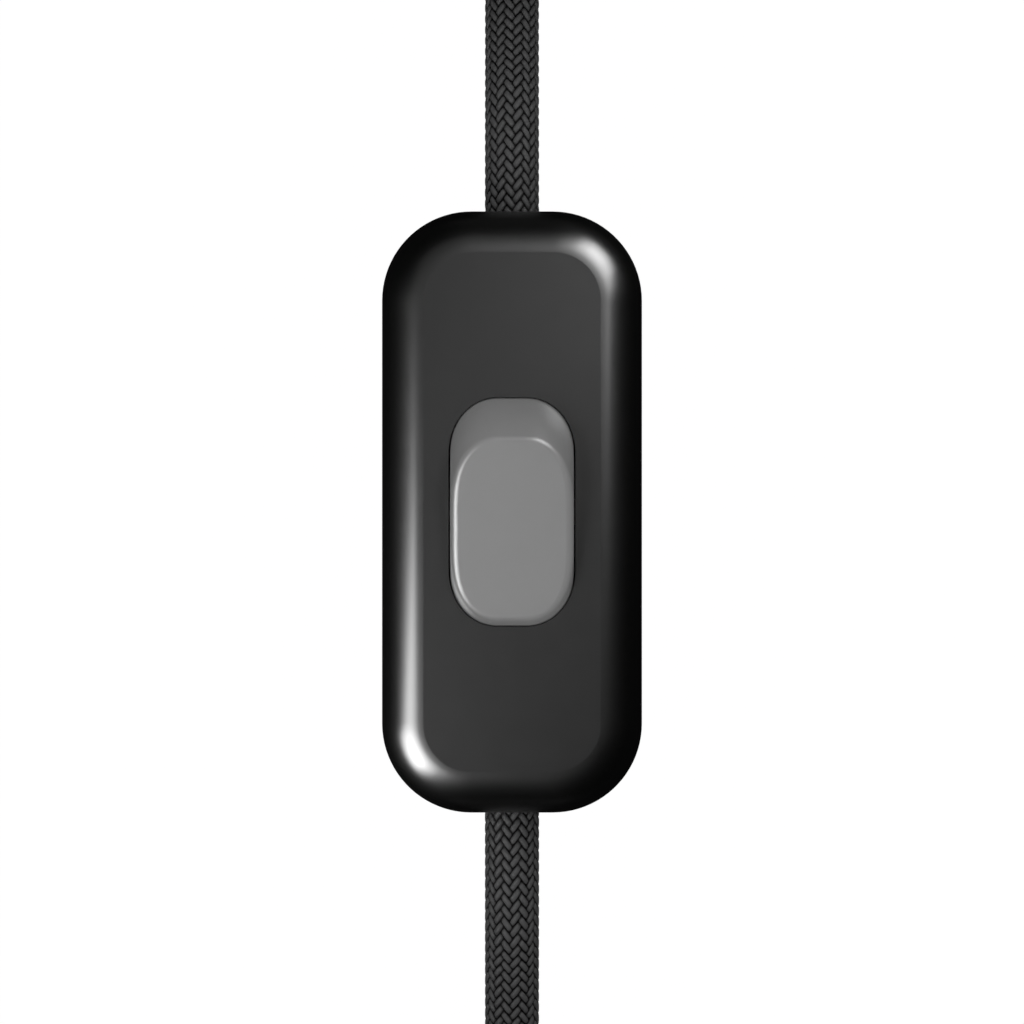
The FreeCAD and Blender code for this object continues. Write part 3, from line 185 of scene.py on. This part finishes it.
def aimed_light(name, spot, width, height, power, spread=180.0, target=(0, 0, 0)):
    """A rectangular soft box, turned to its target. A grid holds its beam to the spread."""
    lamp = bpy.data.lights.new(name, "AREA")
    lamp.shape = "RECTANGLE"
    lamp.size = width
    lamp.size_y = height
    lamp.energy = power
    lamp.spread = math.radians(spread)
    holder = bpy.data.objects.new(name, lamp)
    holder.location = spot
    holder.rotation_mode = "QUATERNION"
    holder.rotation_quaternion = (Vector(target) - Vector(spot)).to_track_quat("-Z", "Y")
    holder.visible_camera = False
    bpy.context.scene.collection.objects.link(holder)
    return holder


key = aimed_light("key_light", (-0.0774, -0.0527, 0.0902), width=0.0675, height=0.1143,
                  power=0.0503, spread=70.0)
key.visible_diffuse = False
second = aimed_light("second_light", (0.0541, 0.0684, 0.0964), width=0.0503, height=0.1143,
                     power=0.0222, spread=70.0)
second.visible_diffuse = False
aimed_light("ceiling_light", (-0.0665, 0.1883, 0.5125), width=0.50, height=0.50, power=0.095)
aimed_light("near_plug_light", (0, 0.120, 0.130), width=0.22, height=0.06, power=0.060,
            spread=50.0, target=PINS)
aimed_light("far_plug_light", (0, 0.310, 0.105), width=0.22, height=0.06, power=0.060,
            spread=40.0, target=PINS)
aimed_light("ferrule_light", (0, -0.155, 0.120), width=0.09, height=0.06, power=0.030,
            spread=60.0, target=FERRULES)

bpy.ops.object.select_all(action="DESELECT")
bpy.ops.mesh.primitive_plane_add(size=FLOOR_SIZE, location=(0, 0, -FLOOR_DROP))
floor = bpy.context.object
floor.name = "floor"
sweep = Paint("white_sweep")
in_view = sweep.node("ShaderNodeLightPath", output="Is Camera Ray")
white_sweep = sweep.finish(Base_Color=grey(0.004), Roughness=0.9, Specular_IOR_Level=0.0,
                           Emission_Color=grey(1.0), Emission_Strength=in_view * FLOOR_GLOW)
floor.data.materials.append(white_sweep)

room = Paint("room", bpy.data.worlds, "Background")
height = room.node("ShaderNodeSeparateXYZ", values=(room.place("Generated"),), output="Z")
dome = room.between(height, *DOME_EDGE, 0.0, ROOM_GLOW)
in_view = room.node("ShaderNodeLightPath", output="Is Camera Ray")
glow = room.node("ShaderNodeMix", named={"Factor": in_view, "A": dome, "B": 1.0},
                 output="Result")
world = room.finish(Color=grey(1.0), Strength=glow)
bpy.context.scene.world = world
world.cycles_visibility.glossy = False


# Cords
# Two round lamp cords: two insulated cores and a filler under a tight braid of dark yarn. Each is
# one length, straight out of the housing and then folded into a hank that lies in line with it.
CORD_D = 0.0062
CORD_R = CORD_D / 2
FOLD = 0.0186
HANK_START = 0.063
HANK_LIFT = 0.0063
LEAD_HEIGHT = 0.010
LEAD_JOINS = 0.1072
LEAD_RUNS_ON = 0.1330
FOLD_CORNERS = 5
BRAID_PITCH = 0.001317
BRAID_COLUMNS = 18
HALF_STRAND = 0.45
TUCK = 0.65
NARROWING = 0.25
RELIEF = 0.00032
CREST = 0.00005
PLAIN_INSET = 0.00006
FINE_FROM = 0.006
FINE_TO = 0.038
FINE_STEP = 0.00013
FINE_AROUND = 144
COARSE_STEP = 0.0012
COARSE_AROUND = 36
THREADS = 6


def lead_points(end, hank_length):
    """The lead's route, and the slope at which the hank lies over it."""
    far_end = HANK_START + hank_length
    slope = HANK_LIFT / (hank_length - CORD_D)
    first, last = (CORD_R + (far_end - y) * slope for y in (LEAD_JOINS, LEAD_RUNS_ON))
    route = [(0, 0.0265, LEAD_HEIGHT), (0, 0.0410, LEAD_HEIGHT), (0, 0.0590, CORD_R),
             (0, 0.0850, CORD_R), (FOLD, LEAD_JOINS, first), (FOLD, LEAD_RUNS_ON, last)]
    return [Vector((x, y * end, z)) for x, y, z in route], slope


def hank_points(hank_length, turns, run_marks):
    """The hank's turns, laid level: along one side, round the far fold, back, and round the near
    fold, where the cord climbs one diameter to lie on the turn below."""
    near, far = HANK_START + FOLD + CORD_R, HANK_START + hank_length - FOLD - CORD_R
    step = math.pi / FOLD_CORNERS
    corner = FOLD / math.cos(step / 2)
    ease = FOLD * math.tan(step / 2)
    rows = [near + ease] + [near + mark for mark in run_marks] + [far - ease]
    points = []
    for turn in range(turns):
        level = CORD_R + CORD_D * turn
        points += [(FOLD, y, level) for y in (rows if turn else rows[2:])]
        for count in range(FOLD_CORNERS):
            angle = step * (count + 0.5)
            points.append((corner * math.cos(angle), far + corner * math.sin(angle), level))
        points += [(-FOLD, y, level) for y in reversed(rows)]
        for count in range(FOLD_CORNERS):
            angle = step * (count + 0.5)
            rise = CORD_D * (count + 0.5) / FOLD_CORNERS
            points.append((-corner * math.cos(angle), near - corner * math.sin(angle),
                           level + rise))
    return points + [(FOLD, near + ease, CORD_R + CORD_D * turns)]


def set_at_slope(points, end, hank_length, slope):
    """Turns level points down about the hank's far end, as it lies on the lead."""
    far_end = HANK_START + hank_length
    lean = math.atan(slope)
    placed = []
    for x, y, z in points:
        back = y - far_end
        placed.append(Vector((x, (far_end + back * math.cos(lean) + z * math.sin(lean)) * end,
                              z * math.cos(lean) - back * math.sin(lean))))
    return placed


def smooth_line(name, points):
    """Points read along the smooth curve that a route's points shape."""
    curve = bpy.data.curves.new(name, "CURVE")
    curve.dimensions = "3D"
    spline = curve.splines.new("NURBS")
    spline.points.add(len(points) - 1)
    for knot, point in zip(spline.points, points):
        knot.co = (*point, 1)
    spline.order_u = 3
    spline.use_endpoint_u = True
    spline.resolution_u = 40
    carrier = bpy.data.objects.new(name, curve)
    read = bpy.data.meshes.new_from_object(carrier)
    line = [vertex.co.copy() for vertex in read.vertices]
    bpy.data.meshes.remove(read)
    bpy.data.objects.remove(carrier)
    bpy.data.curves.remove(curve)
    return line


def brick_height(column, row):
    """How far the yarn stands out, from 0 in a gap to 1 on a strand's back. Strands lean both
    ways and each goes over two of the others and under two, so that short bricks show."""
    left, right = row - column, row + column
    left_cell, right_cell = math.floor(left + 0.5), math.floor(right + 0.5)
    turn = (right_cell - left_cell) % 4
    if turn < 2:
        across, along = left - left_cell, right - right_cell - 0.5 + turn
    else:
        across, along = right - right_cell, left - left_cell + 2.5 - turn
    tuck = abs(along) ** 4
    back = math.sqrt(max(0.0, 1 - (across / (HALF_STRAND * (1 - NARROWING * tuck))) ** 4))
    return back * (1 - TUCK * tuck)


def braided_tube(name, line, turned, first_row):
    """A tube along a line. Every strand of the braid is raised on its fine length; the rest is a
    plain tube whose braid is in its material. Its UV map counts columns and rows."""
    lengths = [0.0]
    ways = []
    for number, (before, after) in enumerate(zip(line, line[1:])):
        lengths.append(lengths[-1] + (after - before).length)
        ways.append((after - line[max(number - 1, 0)]).normalized())
    ways.append((line[-1] - line[-2]).normalized())
    whole = lengths[-1]
    stations = []
    here = 0.0
    while here < whole:
        stations.append(here)
        here += FINE_STEP if FINE_FROM <= here < FINE_TO else COARSE_STEP
    stations.append(whole)
    mesh = bmesh.new()
    uv = mesh.loops.layers.uv.new("braid")
    side = Vector((1, 0, 0))
    cursor = 0
    rings = []
    for here in stations:
        while cursor < len(lengths) - 2 and lengths[cursor + 1] < here:
            cursor += 1
        share = (here - lengths[cursor]) / max(lengths[cursor + 1] - lengths[cursor], 1e-9)
        centre = line[cursor].lerp(line[cursor + 1], share)
        way = ways[cursor].lerp(ways[cursor + 1], share).normalized()
        side = (side - way * side.dot(way)).normalized()
        up = way.cross(side)
        fine = FINE_FROM <= here < FINE_TO
        count = FINE_AROUND if fine else COARSE_AROUND
        row = here / BRAID_PITCH + first_row
        ring = []
        for number in range(count):
            angle = 2 * math.pi * number / count
            radius = CORD_R - PLAIN_INSET
            if fine:
                column = BRAID_COLUMNS * number / count + turned
                radius = CORD_R + CREST - RELIEF * (1 - brick_height(column, row))
            ring.append(mesh.verts.new(centre + (side * math.cos(angle) + up * math.sin(angle))
                                       * radius))
        rings.append((ring, row))
    for (low, low_row), (high, high_row) in zip(rings, rings[1:]):
        few = min(len(low), len(high))
        low_step, high_step = len(low) // few, len(high) // few
        for number in range(few):
            low_marks = [number * low_step + k for k in range(low_step + 1)]
            high_marks = [number * high_step + k for k in range(high_step, -1, -1)]
            corners = [(low, mark, low_row) for mark in low_marks]
            corners += [(high, mark, high_row) for mark in high_marks]
            face = mesh.faces.new([ring[mark % len(ring)] for ring, mark, _ in corners])
            face.smooth = True
            for loop, (ring, mark, row) in zip(face.loops, corners):
                loop[uv].uv = (BRAID_COLUMNS * mark / len(ring) + turned, row)
    for ring, row in (rings[0], rings[-1]):
        cap = mesh.faces.new(ring)
        for loop in cap.loops:
            loop[uv].uv = (turned, row)
    bmesh.ops.recalc_face_normals(mesh, faces=mesh.faces)
    data = bpy.data.meshes.new(name)
    mesh.to_mesh(data)
    mesh.free()
    piece = bpy.data.objects.new(name, data)
    bpy.context.scene.collection.objects.link(piece)
    return piece, whole


braid = Paint("cord_braid")
weave = braid.place("UV")
column, row = (braid.node("ShaderNodeSeparateXYZ", values=(weave,), output=axis) for axis in "XY")
left, right = row - column, row + column
left_cell, right_cell = (left + 0.5).calc("FLOOR"), (right + 0.5).calc("FLOOR")
turn = ((right_cell - left_cell) * 0.25 + 0.125).calc("FRACT") * 4 - 0.5
on_left = turn < 1.5
across = on_left * (left - left_cell) + (1 - on_left) * (right - right_cell)
along = (on_left * (right - right_cell - 0.5 + turn)
         + (1 - on_left) * (left - left_cell + 2.5 - turn))
tuck = along * along * along * along
width_share = across / (HALF_STRAND * (1 - NARROWING * tuck))
back = (1 - width_share * width_share * width_share * width_share).calc("MAXIMUM", 0).calc("SQRT")
strand = back * (1 - TUCK * tuck)
threads = (across * (2 * math.pi * THREADS)).calc("SINE") * 0.03
tone = braid.noise(1500.0, detail=5.0)
yarn = braid.blend(tone, (0.050, 0.050, 0.0505, 1), (0.064, 0.064, 0.065, 1))
# Where the strand height falls, in the gaps between strands and at the brick ends tucked under
# their neighbours, the colour goes to near black: this is painted shade in those hollows.
yarn = braid.blend(braid.between(strand, 0.23, 0.90, 0, 1), (0.001, 0.001, 0.001, 1), yarn)
braid.relief(strand + threads * strand, 0.00022, 0.8)
cord_braid = braid.finish(Base_Color=yarn, Specular_IOR_Level=0.2,
                          Roughness=braid.between(strand, 0.4, 1, 0.9, 0.6))

HANK_TURNS = 2
RELIEF_SOCKET = 0.002
TAIL_RISE = 0.00355
TAIL_CLEARANCE = 0.0006
TAIL_SAG = 0.0005
PLUG_START = 0.089
PLUG_THICKNESS = 0.0137
PLUG_GAP = 0.0001
SUPPLY_HANK = 0.1635
LAMP_HANK = 0.1120
hank_top = CORD_D * HANK_TURNS
plug_axis = hank_top + PLUG_THICKNESS / 2 + PLUG_GAP

supply_route, supply_slope = lead_points(1, SUPPLY_HANK)
supply_level = hank_points(SUPPLY_HANK, HANK_TURNS, (0.0225, 0.0900))
supply_level += [(FOLD, 0.1030, hank_top + CORD_R + TAIL_CLEARANCE),
                 (0, 0.1252, plug_axis - TAIL_SAG),
                 (0, HANK_START + PLUG_START + RELIEF_SOCKET, plug_axis)]
supply_route += set_at_slope(supply_level, 1, SUPPLY_HANK, supply_slope)

lamp_route, lamp_slope = lead_points(-1, LAMP_HANK)
lamp_level = hank_points(LAMP_HANK, HANK_TURNS, (0.0180, 0.0560))
lamp_level += [(FOLD, 0.1440, hank_top + TAIL_RISE)]
lamp_route += set_at_slope(lamp_level, -1, LAMP_HANK, lamp_slope)

supply_line = smooth_line("supply_line", supply_route)
supply_cord, supply_length = braided_tube("supply_cord", supply_line, turned=0.06,
                                          first_row=-0.22)
supply_cord.data.materials.append(cord_braid)
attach(supply_cord, "housing")
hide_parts("supply_cord_lead", "supply_hank", "supply_cord_tail")

lamp_line = smooth_line("lamp_line", lamp_route)
lamp_cord, lamp_length = braided_tube("lamp_cord", lamp_line, turned=0.14, first_row=0.0)
lamp_cord.data.materials.append(cord_braid)
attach(lamp_cord, "housing")
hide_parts("lamp_cord_lead", "lamp_hank", "lamp_cord_tail")


# Housing
# Two halves in polished black plastic, with a rolled edge all round and a plain flat face. The
# lower half has a lip inside the upper one's rim, and two screws from below hold them.
def dress(material, *nodes):
    """Gives CAD nodes their finish."""
    for node in nodes:
        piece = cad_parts[node]
        for held in piece.material_slots:
            held.material = material
        if not piece.material_slots:
            piece.data.materials.append(material)


gloss = Paint("housing_plastic")
mould = gloss.noise(900.0, detail=2.0)
gloss.relief(mould, 0.0000004, 0.5)
housing_plastic = gloss.finish(
    Base_Color=gloss.blend(gloss.noise(60.0), grey(0.0006), grey(0.0009)),
    Roughness=gloss.between(gloss.noise(420.0), 0.3, 0.7, 0.278, 0.290),
    Specular_IOR_Level=1.0, Coat_Weight=1.0, Coat_Roughness=0.28, Coat_IOR=1.6)
dress(housing_plastic, "top_cover", "base_shell")

# Rocker button
# Satin grey plastic, one moulding, hollow below, with rounded shoulders and a face of two shallow
# slopes. It turns on a trunnion at each side, held by two ears of the upper half.
satin = Paint("rocker_plastic")
grain = satin.noise(2600.0, detail=3.0)
satin.relief(grain, 0.000012, 0.35)
rocker_plastic = satin.finish(
    Base_Color=satin.blend(satin.noise(140.0), grey(0.182), grey(0.194)),
    Roughness=satin.between(satin.noise(900.0), 0.3, 0.7, 0.285, 0.330),
    Specular_IOR_Level=0.7)
dress(rocker_plastic, "rocker_button")


# Screws, saddles and plug pins
# Zinc-plated steel: two long screws hold the halves from below, four short ones hold the two
# saddles that clamp the cord, and four press on the wires in their clamps. The plug's two round
# pins are plated the same.
def bare_metal(name, dull, bright, smooth, rough, streaks):
    """Plated or bare metal, with drawing streaks along Y and a few dull specks."""
    made = Paint(name)
    along = made.node("ShaderNodeMapping", named={"Vector": made.place(), "Scale": (1, 0.08, 1)})
    drawn = made.noise(streaks, detail=4.0, vector=along)
    specks = made.between(made.noise(900.0, detail=5.0, rough=0.6), 0.55, 0.75, 0, 1)
    made.relief(drawn, 0.000004, 0.4)
    return made.finish(Base_Color=made.blend(drawn, dull, bright), Metallic=1.0,
                       Roughness=made.between(drawn, 0.3, 0.7, smooth, rough) + specks * 0.12)


steel = bare_metal("steel", (0.42, 0.43, 0.45, 1), (0.60, 0.61, 0.62, 1), 0.29, 0.40, 2400.0)
dress(steel, "case_screws", "saddle_screws", "supply_cord_saddle", "lamp_cord_saddle",
      "terminal_screws", "plug_pins")

# Springs
# Two small coils of hard-drawn steel wire. Each lies in a tube of the rocker, behind its plunger,
# and pushes it down.
spring_steel = bare_metal("spring_steel", (0.30, 0.30, 0.31, 1), (0.48, 0.48, 0.49, 1),
                          0.29, 0.36, 5200.0)
dress(spring_steel, "plunger_spring_live", "plunger_spring_neutral")

# Terminals, clamps and blades
# Stamped from brass strip: the strips lie in the base, the see-saw blades rock on their knife
# edges, and a box clamp with one screw grips each wire.
brass = bare_metal("brass", (0.52, 0.36, 0.13, 1), (0.74, 0.54, 0.24, 1), 0.29, 0.42, 1800.0)
dress(brass, "supply_terminal_live", "supply_terminal_neutral", "lamp_terminal_live",
      "lamp_terminal_neutral", "terminal_clamps", "contact_blade_live",
      "contact_blade_neutral")

# Contacts
# Round silver buttons, one riveted on each strip of the lamp side and one under an arm of each
# blade, slightly darkened in use.
contact_silver = bare_metal("contact_silver", (0.58, 0.57, 0.54, 1), (0.84, 0.83, 0.80, 1),
                            0.29, 0.38, 3600.0)
dress(contact_silver, "fixed_contacts", "moving_contact_live", "moving_contact_neutral")

# Wire ends and ferrules
# Fine copper strands with a slight twist lie bare in the clamps. At the lamp end they are
# crimped in tinned sleeves with a collar.
strands = Paint("copper")
turned_wire = strands.node("ShaderNodeMapping", named={"Vector": strands.place(),
                                                       "Rotation": (0, 0, 0.35)})
lay = strands.node("ShaderNodeTexWave", {"wave_type": "BANDS", "bands_direction": "X"},
                   named={"Vector": turned_wire, "Scale": 1500.0, "Distortion": 0.6,
                          "Detail": 2.0})
strands.relief(lay, 0.00006, 0.8)
copper = strands.finish(
    Base_Color=strands.blend(lay, (0.42, 0.15, 0.07, 1), (0.78, 0.36, 0.20, 1)),
    Metallic=1.0, Roughness=strands.between(lay, 0, 1, 0.42, 0.24))
dress(copper, "wire_ends")
tinned = bare_metal("ferrule_metal", (0.50, 0.50, 0.49, 1), (0.70, 0.70, 0.68, 1),
                    0.30, 0.44, 2000.0)
dress(tinned, "lamp_end_ferrules")


# Cores
# Soft vinyl insulation over the copper, brown for live and blue for neutral, a little waxy and
# faintly uneven. It shows inside the housing and beyond the sleeve at the lamp end.
def moulded(name, dark, light, smooth, rough, grain, depth):
    """A plastic: a slow change of tone, a fine grain and a gloss that follows it."""
    made = Paint(name)
    fine = made.noise(grain, detail=4.0, rough=0.6)
    made.relief(fine, depth, 0.5)
    return made.finish(Base_Color=made.blend(made.noise(120.0), dark, light),
                       Roughness=made.between(fine, 0.3, 0.7, smooth, rough))


core_brown = moulded("core_brown", (0.110, 0.040, 0.014, 1), (0.150, 0.058, 0.022, 1),
                     0.34, 0.46, 2200.0, 0.000015)
core_blue = moulded("core_blue", (0.010, 0.085, 0.340, 1), (0.016, 0.120, 0.430, 1),
                    0.34, 0.46, 2200.0, 0.000015)
dress(core_brown, "supply_core_live", "lamp_core_live", "lamp_end_core_live")
dress(core_blue, "supply_core_neutral", "lamp_core_neutral", "lamp_end_core_neutral")

# Plungers
# Turned pins with round noses, in natural white acetal. They slide in the rocker's tubes, and
# their noses rock the blades.
acetal = moulded("plunger_plastic", (0.62, 0.60, 0.55, 1), (0.72, 0.70, 0.66, 1),
                 0.31, 0.42, 3000.0, 0.000006)
dress(acetal, "plunger_live", "plunger_neutral")

# Plug
# A flat two-pin plug moulded on the cord in black vinyl, with a ringed sleeve that keeps the
# cord from kinking. The skin has the fine matt grain of a spark-eroded mould.
plug_skin = moulded("plug_plastic", (0.012, 0.012, 0.0125, 1), (0.020, 0.020, 0.0205, 1),
                    0.46, 0.64, 3200.0, 0.00003)
dress(plug_skin, "plug_body", "plug_strain_relief")

# Hank ties and lamp-end sleeve
# Soft black bands with fine ribs, closed round each hank, and a sleeve that is shrunk over the
# end of the braid to hold it.
bands = Paint("tie_band")
ribbing = bands.node("ShaderNodeTexWave", {"wave_type": "BANDS", "bands_direction": "Y"},
                     named={"Vector": bands.place(), "Scale": 620.0, "Distortion": 0.5,
                            "Detail": 1.0})
skin = bands.noise(1800.0, detail=4.0)
bands.relief(ribbing * 0.5 + skin, 0.00004, 0.6)
tie_band = bands.finish(Base_Color=bands.blend(skin, grey(0.009), grey(0.018)),
                        Roughness=bands.between(skin, 0.3, 0.7, 0.40, 0.58))
dress(tie_band, "supply_hank_ties", "lamp_hank_ties", "lamp_end_sleeve")
